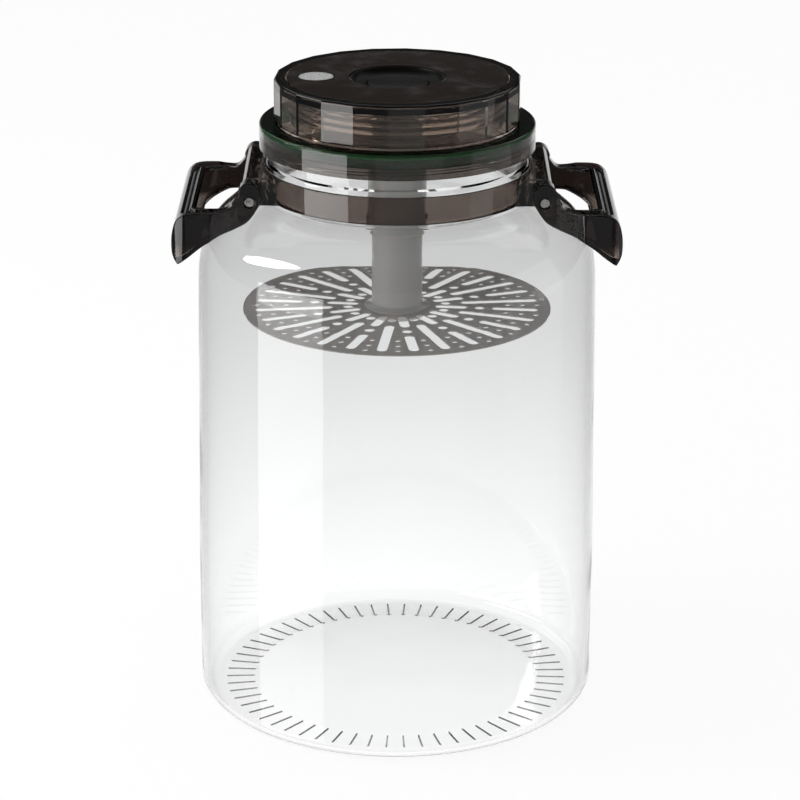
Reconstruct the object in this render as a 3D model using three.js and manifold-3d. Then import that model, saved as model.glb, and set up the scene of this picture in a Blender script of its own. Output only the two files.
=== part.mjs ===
// Pickling jar with a screw lid, a turning knob that drives a press plate, and two swing handles.
// Millimetres, +Z up. The origin is the centre of the base on the table. The photographed front faces -Y.

import * as THREE from 'three';
import { mergeVertices, mergeGeometries } from 'three/addons/utils/BufferGeometryUtils.js';
import Module from 'manifold-3d';

// Jar body
const body_height = 225.5;
const body_radius_low = 86.4;
const body_radius_high = 84.6;
const widest_height = 60;
const wall = 1.8;
const corner_radius = 7;
const shoulder_drop = 38.5;
const shoulder_lip = 2;
const base_recess = 0.9;
const recess_radius = 62.6;
const recess_slope = 0.9;
const rib_length = 11;
const rib_width = 1.1;
const rib_depth = 0.6;
const rib_count = 60;

// Neck and its thread
const neck_height = 25.8;
const neck_radius = 55;
const neck_wall = 2.7;
const rim_chamfer = 0.6;
const bead_height = 1.6;
const bead_depth = 1.2;
const thread_depth = 1.1;
const thread_pitch = 5;
const thread_root_width = 1.6;
const thread_crest_width = 0.9;
const thread_start_drop = 8.6;
const neck_thread_turns = 1.5;
const lid_thread_turns = 0.75;
const lid_thread_lead_in = 0.25;
const thread_clearance = 0.5;

// Neck ring, its lugs and the handle pins
const ring_lift = 0.8;
const ring_height = 11.5;
const ring_wall = 1.45;
const lug_half_length = 27;
const lug_depth = 7.2;
const lug_under = 0.3;
const lug_top_drop = 0.3;
const pocket_wall = 1.6;
const pocket_floor_wall = 0.8;
const pin_radius = 2;
const pin_inset = 0.7;
const pin_from_ring = 4.1;
const pin_height = 2.9;

// Handles
const handle_reach = 32.2;
const handle_drop = 24.9;
const heel_height = 8.4;
const heel_radius = 4.7;
const knuckle_thickness = 7;
const grip_half_length = 41.5;
const opening_half_length = 32.5;
const grip_depth = 9.8;
const opening_corner = 5;
const grip_corner = 8;
const flange_wall = 2;
const web_wall = 2.4;
const opening_side = 5.4;
const handle_swing = THREE.MathUtils.degToRad(75);
const swing_steps = 3;

// Seal and lid
const seal_thickness = 2;
const seal_overhang = 1.2;
const seal_lip_depth = 2.9;
const seal_lip_wall = 1.1;
const seal_lip_clearance = 0.3;
const deck_thickness = 2.1;
const deck_chamfer = 0.9;
const skirt_height = 10.4;
const skirt_wall = 1.4;
const collar_radius = 43.6;
const collar_wall = 1.6;
const collar_height = 12;
const collar_ridge_depth = 1;
const collar_ridge_width = 1.8;
const collar_ridge_pitch = 3.2;
const collar_ridge_count = 3;
const socket_depth = 5;
const socket_wall = 1.5;

// Knob
const knob_radius = 51.7;
const knob_height = 17.6;
const knob_lift = 1.2;
const knob_wall = 2.1;
const knob_facets = 22;
const knob_facet_turn = THREE.MathUtils.degToRad(-20.3);
const knob_chamfer = 0.8;
const knob_web = 1.8;
const disc_radius = 46.4;
const disc_thickness = 2.2;
const core_radius = 33;
const core_wall = 1.6;
const dish_radius = 20.3;
const badge_radius = 7.4;
const badge_thickness = 1;
const badge_offset = 34;
const cup_wall = 1.3;
const cup_height = 3.8;
const cup_floor = 2.4;
const cup_radius = 20.9;
const hub_wall = 1.8;
const hub_ledge = 2;
const hub_ledge_width = 3.4;

// Vent button, its spring and valve
const button_radius = 13;
const button_thickness = 2.3;
const button_edge = 0.4;
const button_sink = 0.3;
const stem_radius = 1.6;
const stem_clearance = 0.6;
const valve_radius = 2.8;
const valve_thickness = 1.8;
const stem_neck_radius = 1;
const stem_head_radius = 1.8;
const stem_head_height = 0.8;
const spring_radius = 4.5;
const spring_wire_radius = 0.25;
const spring_curls = 2;

// Spindle, its seal and clip
const spindle_head_thickness = 2.6;
const spindle_hub_radius = 8;
const spindle_radius = 5;
const spindle_bore = 3.2;
const spindle_length = 55.8;
const spindle_thread_depth = 0.7;
const spindle_lead = 12;
const spindle_thread_width = 3;
const spindle_thread_turns = 3.5;
const spindle_foot = 4;
const oring_width = 2.2;
const oring_height = 1.4;
const clip_width = 3.8;
const clip_thickness = 1.2;
const clip_groove_depth = 0.6;

// Guide sleeve, press tube and plate
const sleeve_radius = 12.4;
const sleeve_length = 41;
const sleeve_collar_radius = 13.2;
const sleeve_collar_height = 3.4;
const sleeve_collar_lip = 2.6;
const tube_radius = 10.7;
const tube_wall = 1.7;
const tube_floor = 2;
const tube_head_gap = 3.6;
const nut_height = 7.4;
const nut_ledge_width = 1.8;
const plate_radius = 65.8;
const plate_thickness = 1.2;
const plate_under_sleeve = 34.7;
const foot_radius = 14;
const foot_height = 2;
const spigot_radius = 8;
const spigot_length = 5;
const plate_clip_radius = 13;
const plate_clip_thickness = 2.2;
const slot_width = 4.2;
const slot_lines = 14;
const first_slot_angle = THREE.MathUtils.degToRad(7);

// Fits: seat_gap lies between pieces that are stacked, running_gap round what turns or slides
const seat_gap = 0.2;
const running_gap = 0.3;
const overrun = 1;

// Facet counts
const wide_sides = 40;
const middle_sides = 30;
const small_sides = 20;
const pin_sides = 16;
const slot_end_steps = 2;
const foot_corner_steps = 4;
const inner_corner_steps = 3;
const upper_edge_steps = 20;
const lower_edge_steps = 14;
const heel_steps = 6;
const plan_corner_steps = 5;
const wire_sides = 5;
const steps_per_curl = 8;

// Colours and finishes
const finish = (settings) => new THREE.MeshStandardMaterial(settings);
const clear_plastic = finish({ color: 0xe9ecec, roughness: 0.08, transparent: true, opacity: 0.3 });
const smoked_plastic = finish({ color: 0x3a3531, roughness: 0.1, transparent: true, opacity: 0.85 });
const dark_plastic = finish({ color: 0x161615, roughness: 0.3 });
const green_silicone = finish({ color: 0x3f9a55, roughness: 0.5 });
const grey_plastic = finish({ color: 0x8a8784, roughness: 0.35 });
const steel = finish({ color: 0xb4b4b2, roughness: 0.25, metalness: 1 });
const silver = finish({ color: 0xd2d3d3, roughness: 0.35, metalness: 0.8 });

// Heights that follow from the stack of pieces
const rim_z = body_height + neck_height;
const mouth_radius = neck_radius - neck_wall;
const ring_z = body_height + ring_lift;
const ring_top_z = ring_z + ring_height;
const seal_z = rim_z + seat_gap;
const deck_z = seal_z + seal_thickness + seat_gap;
const deck_top_z = deck_z + deck_thickness;
const skirt_z = deck_top_z - skirt_height;
const knob_z = deck_top_z + knob_lift;
const knob_top_z = knob_z + knob_height;
const ledge_z = knob_top_z - disc_thickness - seat_gap;
const web_z = ledge_z - knob_web;
const cup_z = ledge_z - cup_height;
const hub_ledge_z = cup_z - seat_gap - hub_ledge;
const head_top_z = hub_ledge_z - seat_gap;
const head_z = head_top_z - spindle_head_thickness;
const pin_x = neck_radius + running_gap + ring_wall + pin_from_ring;
const pin_z = ring_z + pin_height;
const grip_inner = handle_reach - grip_depth;
const channel_start = grip_inner - opening_corner - opening_side;
const skirt_inner = neck_radius + thread_depth + thread_clearance;
const skirt_radius = skirt_inner + skirt_wall;

const wasm = await Module();
wasm.setup();

// Turns loose geometry into indexed triangles with shared corners, no slivers, and faces pointing out
function welded(geometry) {
  const bare = geometry.clone();
  bare.deleteAttribute('normal');
  bare.deleteAttribute('uv');
  const merged = mergeVertices(bare);
  const place = merged.attributes.position;
  const corners = [];
  const index = merged.index.array;
  let volume = 0;
  const a = new THREE.Vector3();
  const b = new THREE.Vector3();
  const c = new THREE.Vector3();
  for (let i = 0; i < index.length; i += 3) {
    const [p, q, r] = [index[i], index[i + 1], index[i + 2]];
    if (p === q || q === r || r === p) continue;
    corners.push(p, q, r);
    a.fromBufferAttribute(place, p);
    b.fromBufferAttribute(place, q);
    c.fromBufferAttribute(place, r);
    volume += a.dot(b.cross(c));
  }
  if (volume < 0) {
    for (let i = 0; i < corners.length; i += 3) {
      [corners[i + 1], corners[i + 2]] = [corners[i + 2], corners[i + 1]];
    }
  }
  merged.setIndex(corners);
  return merged;
}

function solid(geometry) {
  const ready = welded(geometry);
  const vertProperties = new Float32Array(ready.attributes.position.array);
  const triVerts = new Uint32Array(ready.index.array);
  return new wasm.Manifold(new wasm.Mesh({ numProp: 3, vertProperties, triVerts }));
}

function shape_of(manifold) {
  const mesh = manifold.getMesh();
  const geometry = new THREE.BufferGeometry();
  geometry.setAttribute('position', new THREE.BufferAttribute(new Float32Array(mesh.vertProperties), 3));
  geometry.setIndex(new THREE.BufferAttribute(new Uint32Array(mesh.triVerts), 1));
  return geometry;
}

// A profile of [radius, height] pairs turned round the jar's centre line
function turned(profile, sides, start = 0) {
  const points = profile.map(([radius, height]) => new THREE.Vector2(radius, height));
  const lathe = new THREE.LatheGeometry(points, sides, start, Math.PI * 2);
  lathe.rotateX(Math.PI / 2);
  return welded(lathe);
}

// A plain ring of rectangular section
function ring(inner, outer, low, high, sides) {
  return turned([[inner, low], [outer, low], [outer, high], [inner, high], [inner, low]], sides);
}

function disc(radius, low, high, sides) {
  return turned([[0, low], [radius, low], [radius, high], [0, high]], sides);
}

// Quarter-round points from one angle to another, for the corners of a profile
function arc(centre_r, centre_z, radius, from, to, steps) {
  return Array.from({ length: steps + 1 }, (unused, i) => {
    const angle = from + ((to - from) * i) / steps;
    return [centre_r + radius * Math.cos(angle), centre_z + radius * Math.sin(angle)];
  });
}

// A screw thread's ridge: a four-cornered section carried round a helix, closed at both ends
function helical_ridge({ root, crest, rootWidth, crestWidth, pitch, turns, low, steps, lead_in = 0 }) {
  const section = [
    [root, -rootWidth / 2],
    [crest, -crestWidth / 2],
    [crest, crestWidth / 2],
    [root, rootWidth / 2],
  ];
  const count = Math.round(turns * steps);
  const places = [];
  const corners = [];
  for (let i = 0; i <= count; i += 1) {
    const turned_by = lead_in + i / steps;
    const angle = 2 * Math.PI * turned_by;
    section.forEach(([radius, rise]) => {
      const height = low + pitch * turned_by + rise;
      places.push(radius * Math.cos(angle), radius * Math.sin(angle), height);
    });
  }
  for (let i = 0; i < count; i += 1) {
    for (let k = 0; k < 4; k += 1) {
      const a = i * 4 + k;
      const b = i * 4 + ((k + 1) % 4);
      corners.push(a, b, a + 4, b, b + 4, a + 4);
    }
  }
  const last = count * 4;
  corners.push(0, 2, 1, 0, 3, 2, last, last + 1, last + 2, last, last + 2, last + 3);
  const geometry = new THREE.BufferGeometry();
  geometry.setAttribute('position', new THREE.Float32BufferAttribute(places, 3));
  geometry.setIndex(corners);
  return geometry;
}

const jar = new THREE.Group();

function add_piece(name, geometry, material, place = [0, 0, 0], turn = 0) {
  const mesh = new THREE.Mesh(geometry, material);
  mesh.name = name;
  mesh.position.set(...place);
  mesh.rotation.z = turn;
  jar.add(mesh);
}

// Jar body: blown clear plastic, one skin from the base ring to the threaded mouth
const shoulder_shares = [[0, 0], [0.18, 0.034], [0.36, 0.086], [0.54, 0.171], [0.71, 0.275], [0.85, 0.43],
  [0.94, 0.61], [0.985, 0.805], [1, 1]];

function shoulder(from_radius, to_radius, top, drop) {
  const width = to_radius - from_radius;
  return shoulder_shares.map(([out, down]) => [from_radius + out * width, top - down * drop]);
}

function make_jar_body() {
  const foot_edge = body_radius_low - corner_radius;
  const shoulder_start = neck_radius + shoulder_lip;
  const bead_z = ring_top_z + seat_gap;
  const outside = [
    [0, base_recess],
    [recess_radius, base_recess],
    [recess_radius + recess_slope, 0],
    ...arc(foot_edge, corner_radius, corner_radius, -Math.PI / 2, 0, foot_corner_steps),
    [body_radius_low, widest_height],
    ...shoulder(shoulder_start, body_radius_high, body_height, shoulder_drop).reverse(),
    [neck_radius, body_height],
    [neck_radius, bead_z],
    [neck_radius + bead_depth, bead_z],
    [neck_radius + bead_depth, bead_z + bead_height / 2],
    [neck_radius, bead_z + bead_height],
    [neck_radius, rim_z - rim_chamfer],
    [neck_radius - rim_chamfer, rim_z],
  ];
  const inside = [
    [mouth_radius, rim_z],
    ...shoulder(mouth_radius, body_radius_high - wall, body_height - wall, shoulder_drop - wall),
    [body_radius_low - wall, widest_height],
    ...arc(foot_edge, corner_radius, corner_radius - wall, 0, -Math.PI / 2, inner_corner_steps),
    [recess_radius + recess_slope, wall],
    [recess_radius, base_recess + wall],
    [0, base_recess + wall],
  ];
  const skin = solid(turned([...outside, ...inside], wide_sides));
  const thread = solid(helical_ridge({
    root: neck_radius - neck_wall / 2,
    crest: neck_radius + thread_depth,
    rootWidth: thread_root_width,
    crestWidth: thread_crest_width,
    pitch: thread_pitch,
    turns: neck_thread_turns,
    low: rim_z - thread_start_drop,
    steps: wide_sides,
  }));
  const rib_start = recess_radius + recess_slope + wall;
  const ribs = Array.from({ length: rib_count }, (unused, i) => {
    const rib = new THREE.BoxGeometry(rib_length, rib_width, 2 * rib_depth);
    rib.translate(rib_start + rib_length / 2, 0, 0);
    rib.rotateZ((2 * Math.PI * (i + 1 / 2)) / rib_count);
    return rib;
  });
  return shape_of(skin.add(thread).subtract(solid(mergeGeometries(ribs))));
}

add_piece('jar_body', make_jar_body(), clear_plastic);

// Neck ring: smoked ring snapped under the neck's bead, with a hollow lug on each side that carries a pin
function lug_block(inner_x, outer_x, half_length, low, high) {
  const block = new THREE.BoxGeometry(outer_x - inner_x, 2 * half_length, high - low);
  block.translate((inner_x + outer_x) / 2, 0, (low + high) / 2);
  return block;
}

function both_sides(geometry) {
  const other = geometry.clone();
  other.rotateZ(Math.PI);
  return solid(mergeGeometries([geometry, other]));
}

function pin_shape(radius, half_length) {
  const pin = new THREE.CylinderGeometry(radius, radius, 2 * half_length, pin_sides);
  pin.translate(pin_x, 0, pin_z);
  return pin;
}

function make_neck_ring() {
  const bore = neck_radius + running_gap;
  const outer = bore + ring_wall;
  const lug_x = outer + lug_depth;
  const lug_low = ring_z - lug_under;
  const lug_top = ring_top_z - lug_top_drop;
  const pocket_low = pin_z + pin_radius + running_gap + pocket_floor_wall;
  const lug_inner_x = Math.sqrt(neck_radius ** 2 - lug_half_length ** 2);
  const band = solid(ring(neck_radius - overrun, outer, ring_z, ring_top_z, wide_sides));
  const lugs = both_sides(lug_block(lug_inner_x, lug_x, lug_half_length, lug_low, lug_top));
  const pockets = both_sides(lug_block(outer, lug_x - pocket_wall, lug_half_length - pocket_wall, pocket_low,
    lug_top + overrun));
  const neck_room = bore / Math.cos(Math.PI / wide_sides);
  const neck = solid(disc(neck_room, lug_low - overrun, ring_top_z + overrun, wide_sides));
  const bores = both_sides(pin_shape(pin_radius + running_gap, lug_half_length + overrun));
  return shape_of(band.add(lugs).subtract(pockets).subtract(neck).subtract(bores));
}

add_piece('neck_ring', make_neck_ring(), smoked_plastic);

const knuckle_inner = lug_half_length + running_gap;
const knuckle_outer = knuckle_inner + knuckle_thickness;
add_piece('pin_right', pin_shape(pin_radius, knuckle_outer - pin_inset), steel);
add_piece('pin_left', pin_shape(pin_radius, knuckle_outer - pin_inset), steel, [0, 0, 0], Math.PI);

// Handle: a loop of C section, open towards the fingers, hung on its pin.
// Its outline is in shares of its reach and drop.
const upper_shares = [[0.136, 0.137], [0.168, 0.056], [0.252, -0.068], [0.404, -0.104], [0.7, -0.12],
  [0.857, -0.245], [0.95, -0.414], [1, -0.622], [0.984, -0.863], [0.919, -1]];
const lower_shares = [[0.919, -1], [0.767, -0.851], [0.6, -0.679], [0.385, -0.522], [0.155, -0.43],
  [0.0, -0.3], [-0.13, -0.05]];

function smooth(shares, steps) {
  const points = shares.map(([out, up]) => new THREE.Vector2(out * handle_reach, up * handle_drop));
  return new THREE.SplineCurve(points).getPoints(steps);
}

function handle_outline() {
  const heel = arc(0, heel_height - heel_radius, heel_radius, Math.PI, 0, heel_steps);
  const heel_points = heel.map(([x, z]) => new THREE.Vector2(x, z));
  const upper_edge = smooth(upper_shares, upper_edge_steps);
  const lower_edge = smooth(lower_shares, lower_edge_steps);
  return [...heel_points, ...upper_edge, ...lower_edge.slice(1)];
}

// An outline in the XZ plane, drawn out along Y to both sides of the middle, and lifted
function side_block(outline, half_length, lift = 0) {
  const face = new THREE.Shape(outline);
  const block = new THREE.ExtrudeGeometry(face, { depth: 2 * half_length, bevelEnabled: false });
  block.rotateX(Math.PI / 2);
  block.translate(0, half_length, lift);
  return solid(block);
}

// A plan outline, from the jar's side outwards, with rounded outer corners, drawn up through the whole handle
function plan_block({ start, inner_half, spread_from, spread_to, outer_half, end, corner }) {
  const plan = new THREE.Shape();
  plan.moveTo(start, -inner_half);
  plan.lineTo(spread_from, -inner_half);
  plan.lineTo(spread_to, -outer_half);
  plan.lineTo(end - corner, -outer_half);
  plan.absarc(end - corner, corner - outer_half, corner, -Math.PI / 2, 0);
  plan.absarc(end - corner, outer_half - corner, corner, 0, Math.PI / 2);
  plan.lineTo(spread_to, outer_half);
  plan.lineTo(spread_from, inner_half);
  plan.lineTo(start, inner_half);
  const tall = 2 * (handle_drop + heel_height);
  const block = new THREE.ExtrudeGeometry(plan, {
    depth: tall,
    bevelEnabled: false,
    curveSegments: plan_corner_steps,
  });
  block.translate(0, 0, -tall / 2);
  return solid(block);
}

// The room that the jar's shoulder and neck ring need, seen from the handle as it swings to its stop
function swing_relief() {
  const grow = ([radius, height]) => [radius + running_gap, height + running_gap];
  const skin = shoulder(neck_radius + shoulder_lip, body_radius_high, body_height, shoulder_drop);
  const outline = skin.map(grow).reverse();
  const ring_outer = neck_radius + running_gap + ring_wall + running_gap;
  const low = body_height - shoulder_drop - overrun;
  const profile = [[0, low], [body_radius_high + running_gap, low], ...outline, [ring_outer, ring_z],
    [ring_outer, ring_top_z], [0, ring_top_z]];
  const still = turned(profile, wide_sides);
  still.translate(-pin_x, 0, -pin_z);
  const places = [];
  for (let i = 0; i <= swing_steps; i += 1) {
    places.push(solid(still.clone().rotateY((handle_swing * i) / swing_steps)));
  }
  return places;
}

function make_handle() {
  const outline = handle_outline();
  const far_in = -handle_reach;
  const loop = side_block(outline, grip_half_length + overrun).intersect(plan_block({
    start: far_in,
    inner_half: knuckle_outer,
    spread_from: heel_radius,
    spread_to: channel_start + heel_radius,
    outer_half: grip_half_length,
    end: handle_reach + overrun,
    corner: grip_corner,
  }));
  const fingers = plan_block({
    start: far_in,
    inner_half: knuckle_inner,
    spread_from: heel_radius + running_gap,
    spread_to: channel_start,
    outer_half: opening_half_length,
    end: grip_inner,
    corner: opening_corner,
  });
  const under_top = side_block(outline, grip_half_length, -flange_wall);
  const over_foot = side_block(outline, grip_half_length, flange_wall);
  const spread_slope = (grip_half_length - knuckle_outer) / channel_start;
  const channel = under_top.intersect(over_foot).intersect(plan_block({
    start: channel_start,
    inner_half: grip_half_length - web_wall - spread_slope * heel_radius,
    spread_from: channel_start,
    spread_to: channel_start + heel_radius,
    outer_half: grip_half_length - web_wall,
    end: handle_reach - web_wall,
    corner: grip_corner - web_wall,
  }));
  const bore_radius = pin_radius + running_gap;
  const bore = new THREE.CylinderGeometry(bore_radius, bore_radius, 4 * grip_half_length, pin_sides);
  const open_loop = loop.subtract(fingers).subtract(channel).subtract(solid(bore));
  return shape_of(swing_relief().reduce((rest, jar_side) => rest.subtract(jar_side), open_loop));
}

const handle_shape = make_handle();
add_piece('handle_right', handle_shape, smoked_plastic, [pin_x, 0, pin_z]);
add_piece('handle_left', handle_shape.clone(), smoked_plastic, [-pin_x, 0, pin_z], Math.PI);

// Lid seal: green silicone washer on the mouth's rim, with a lip that reaches into the mouth
const seal_lip_radius = mouth_radius - seal_lip_clearance;
const seal_inner = seal_lip_radius - seal_lip_wall;
add_piece('lid_seal', turned([
  [seal_inner, seal_z - seal_lip_depth],
  [seal_lip_radius, seal_z - seal_lip_depth],
  [seal_lip_radius, seal_z],
  [neck_radius + seal_overhang, seal_z],
  [neck_radius + seal_overhang, seal_z + seal_thickness],
  [seal_inner, seal_z + seal_thickness],
  [seal_inner, seal_z - seal_lip_depth],
], wide_sides), green_silicone);

// Lid shell: smoked deck and skirt in one, with a ridged collar above and a socket for the sleeve below
function collar_outside() {
  const first = deck_top_z + collar_height - collar_ridge_width / 2;
  const points = [];
  for (let i = 0; i < collar_ridge_count; i += 1) {
    const middle = first - i * collar_ridge_pitch;
    points.push([collar_radius, middle + collar_ridge_width / 2]);
    points.push([collar_radius + collar_ridge_depth, middle]);
    points.push([collar_radius, middle - collar_ridge_width / 2]);
  }
  return points.reverse();
}

function make_lid_shell() {
  const socket_inner = sleeve_radius + running_gap;
  const shell = solid(turned([
    [spindle_radius + running_gap, deck_z],
    [socket_inner, deck_z],
    [socket_inner, deck_z - socket_depth],
    [socket_inner + socket_wall, deck_z - socket_depth],
    [socket_inner + socket_wall, deck_z],
    [skirt_inner, deck_z],
    [skirt_inner, skirt_z],
    [skirt_radius, skirt_z],
    [skirt_radius, deck_top_z - deck_chamfer],
    [skirt_radius - deck_chamfer, deck_top_z],
    [collar_radius, deck_top_z],
    ...collar_outside(),
    [collar_radius - collar_wall, deck_top_z + collar_height],
    [collar_radius - collar_wall, deck_top_z],
    [spindle_radius + running_gap, deck_top_z],
    [spindle_radius + running_gap, deck_z],
  ], wide_sides));
  const thread = solid(helical_ridge({
    root: skirt_inner + skirt_wall / 2,
    crest: skirt_inner - thread_depth,
    rootWidth: thread_root_width,
    crestWidth: thread_crest_width,
    pitch: thread_pitch,
    turns: lid_thread_turns,
    low: rim_z - thread_start_drop + thread_pitch / 2,
    steps: wide_sides,
    lead_in: lid_thread_lead_in,
  }));
  return shape_of(shell.add(thread));
}

add_piece('lid_shell', make_lid_shell(), smoked_plastic);

// Knob: faceted smoked cap with a ledge for the disc, a round core, and a hub for the cup and the spindle
const facet_reach = 1 / Math.cos(Math.PI / knob_facets);
const disc_seat = (disc_radius + running_gap) * facet_reach;
const hub_bore = (cup_radius + running_gap) * facet_reach;
const hub_radius = hub_bore + hub_wall;
add_piece('knob_shell', turned([
  [knob_radius - knob_wall, knob_z],
  [knob_radius, knob_z],
  [knob_radius, knob_top_z - knob_chamfer],
  [knob_radius - knob_chamfer, knob_top_z],
  [disc_seat, knob_top_z],
  [disc_seat, ledge_z],
  [hub_bore, ledge_z],
  [hub_bore, cup_z - seat_gap],
  [hub_bore - hub_ledge_width, cup_z - seat_gap],
  [hub_bore - hub_ledge_width, hub_ledge_z],
  [hub_bore, hub_ledge_z],
  [hub_bore, head_z],
  [hub_radius, head_z],
  [hub_radius, web_z],
  [core_radius - core_wall, web_z],
  [core_radius - core_wall, knob_z],
  [core_radius, knob_z],
  [core_radius, web_z],
  [knob_radius - knob_wall, web_z],
  [knob_radius - knob_wall, knob_z],
], knob_facets, knob_facet_turn), smoked_plastic);

// Knob disc: flat smoked disc on the knob's ledge, with a hole over the dish and a pocket for the badge
function make_knob_disc() {
  const plain = solid(ring(dish_radius, disc_radius, knob_top_z - disc_thickness, knob_top_z, wide_sides));
  const pocket_z = knob_top_z - badge_thickness - seat_gap;
  const pocket = disc(badge_radius + running_gap, pocket_z, knob_top_z + overrun, small_sides);
  pocket.translate(-badge_offset, 0, 0);
  return shape_of(plain.subtract(solid(pocket)));
}

add_piece('knob_disc', make_knob_disc(), smoked_plastic);
add_piece('badge_disc', disc(badge_radius, knob_top_z - badge_thickness, knob_top_z, small_sides), silver,
  [-badge_offset, 0, 0]);

// Vent cup: dark round dish under the disc's hole, with an opening for the button
const cup_opening = button_radius + running_gap;
add_piece('vent_cup', turned([
  [cup_opening, cup_z],
  [cup_radius, cup_z],
  [cup_radius, ledge_z],
  [cup_radius - cup_wall, ledge_z],
  [cup_radius - cup_wall, cup_z + cup_floor],
  [cup_opening, cup_z + cup_floor],
  [cup_opening, cup_z],
], middle_sides), dark_plastic);

// Vent button with the stem that carries the valve
const button_top_z = ledge_z - button_sink;
const button_z = button_top_z - button_thickness;
const valve_top_z = head_z - seat_gap;
const valve_z = valve_top_z - valve_thickness;
const stem_head_top_z = valve_z - seat_gap;
const stem_foot_z = stem_head_top_z - stem_head_height;
add_piece('vent_button', turned([
  [0, stem_foot_z],
  [stem_head_radius, stem_foot_z],
  [stem_head_radius, stem_head_top_z],
  [stem_neck_radius, stem_head_top_z],
  [stem_neck_radius, valve_top_z],
  [stem_radius, valve_top_z],
  [stem_radius, button_z],
  [button_radius, button_z],
  [button_radius, button_top_z - button_edge],
  [button_radius - button_edge, button_top_z],
  [0, button_top_z],
], middle_sides), dark_plastic);

add_piece('vent_valve', ring(stem_neck_radius + running_gap, valve_radius, valve_z, valve_top_z, small_sides),
  green_silicone);

// Vent spring: round wire wound in a helix between the spindle's head and the button
class Helix extends THREE.Curve {
  constructor(radius, low, high, curls) {
    super();
    Object.assign(this, { radius, low, high, curls });
  }

  getPoint(t, target = new THREE.Vector3()) {
    const angle = 2 * Math.PI * this.curls * t;
    const height = this.low + (this.high - this.low) * t;
    return target.set(this.radius * Math.cos(angle), this.radius * Math.sin(angle), height);
  }
}

const spring_low = head_top_z + seat_gap + spring_wire_radius;
const spring_high = button_z - seat_gap - spring_wire_radius;
const spring_wire = new THREE.Shape(Array.from({ length: wire_sides }, (unused, i) => {
  const angle = (2 * Math.PI * i) / wire_sides;
  return new THREE.Vector2(spring_wire_radius * Math.cos(angle), spring_wire_radius * Math.sin(angle));
}));
add_piece('vent_spring', welded(new THREE.ExtrudeGeometry(spring_wire, {
  steps: steps_per_curl * spring_curls,
  extrudePath: new Helix(spring_radius, spring_low, spring_high, spring_curls),
})), steel);

// Spindle: hollow lead screw under the knob's hub; its head closes the hub, its groove holds the clip
const spindle_tip_z = deck_z - spindle_length;
const clip_top_z = deck_z - seat_gap;
const clip_z = clip_top_z - clip_thickness;
const groove_radius = spindle_radius - clip_groove_depth;
const spindle_root = spindle_radius - spindle_thread_depth;
const hub_foot_z = deck_top_z + seat_gap + oring_height + seat_gap;

function make_spindle() {
  const body = solid(turned([
    [spindle_bore, spindle_tip_z],
    [spindle_root, spindle_tip_z],
    [spindle_root, clip_z - seat_gap],
    [groove_radius, clip_z - seat_gap],
    [groove_radius, clip_top_z + seat_gap],
    [spindle_radius, clip_top_z + seat_gap],
    [spindle_radius, hub_foot_z],
    [spindle_hub_radius, hub_foot_z],
    [spindle_hub_radius, head_z],
    [cup_radius, head_z],
    [cup_radius, head_top_z],
    [stem_radius + stem_clearance, head_top_z],
    [stem_radius + stem_clearance, head_z],
    [spindle_bore, head_z],
    [spindle_bore, spindle_tip_z],
  ], small_sides));
  const thread = solid(helical_ridge({
    root: (spindle_bore + spindle_root) / 2,
    crest: spindle_radius,
    rootWidth: spindle_thread_width,
    crestWidth: spindle_thread_width / 2,
    pitch: spindle_lead,
    turns: spindle_thread_turns,
    low: spindle_tip_z + spindle_foot,
    steps: small_sides,
  }));
  return shape_of(body.add(thread));
}

add_piece('spindle', make_spindle(), grey_plastic);
add_piece('spindle_seal', ring(spindle_radius + running_gap, spindle_radius + running_gap + oring_width,
  deck_top_z + seat_gap, deck_top_z + seat_gap + oring_height, small_sides), green_silicone);
add_piece('spindle_clip', ring(groove_radius + running_gap, groove_radius + running_gap + clip_width,
  clip_z, clip_top_z, small_sides), steel);

// Guide sleeve in the lid's socket, and the collar snapped on its lower end
const sleeve_bore = tube_radius + running_gap;
const sleeve_top_z = deck_z - seat_gap;
const sleeve_z = sleeve_top_z - sleeve_length;
const sleeve_foot_z = sleeve_z - seat_gap - sleeve_collar_height;
const sleeve_shape = ring(sleeve_bore, sleeve_radius, sleeve_z, sleeve_top_z, middle_sides);
add_piece('guide_sleeve', sleeve_shape, grey_plastic);
add_piece('sleeve_collar', turned([
  [sleeve_bore, sleeve_foot_z],
  [sleeve_collar_radius, sleeve_foot_z],
  [sleeve_collar_radius, sleeve_z + sleeve_collar_lip],
  [sleeve_radius + running_gap, sleeve_z + sleeve_collar_lip],
  [sleeve_radius + running_gap, sleeve_z - seat_gap],
  [sleeve_bore, sleeve_z - seat_gap],
  [sleeve_bore, sleeve_foot_z],
], middle_sides), grey_plastic);

// Press tube: slides in the sleeve, closed at its foot, which carries the plate on a spigot
const tube_bore = tube_radius - tube_wall;
const tube_top_z = deck_z - tube_head_gap;
const plate_top_z = sleeve_foot_z - plate_under_sleeve;
const foot_z = plate_top_z + seat_gap;
const spigot_z = foot_z - spigot_length;
const nut_z = tube_top_z - nut_height;
const nut_ledge = tube_bore - nut_ledge_width;
add_piece('press_tube', turned([
  [0, spigot_z],
  [spigot_radius, spigot_z],
  [spigot_radius, foot_z],
  [foot_radius, foot_z],
  [foot_radius, foot_z + foot_height],
  [tube_radius, foot_z + foot_height],
  [tube_radius, tube_top_z],
  [tube_bore, tube_top_z],
  [tube_bore, nut_z - seat_gap],
  [nut_ledge, nut_z - seat_gap],
  [nut_ledge, spigot_z + tube_floor],
  [0, spigot_z + tube_floor],
], middle_sides), grey_plastic);

const nut_bore = spindle_radius + running_gap;
add_piece('tube_nut', ring(nut_bore, tube_bore - running_gap, nut_z, tube_top_z, small_sides), dark_plastic);

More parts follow.
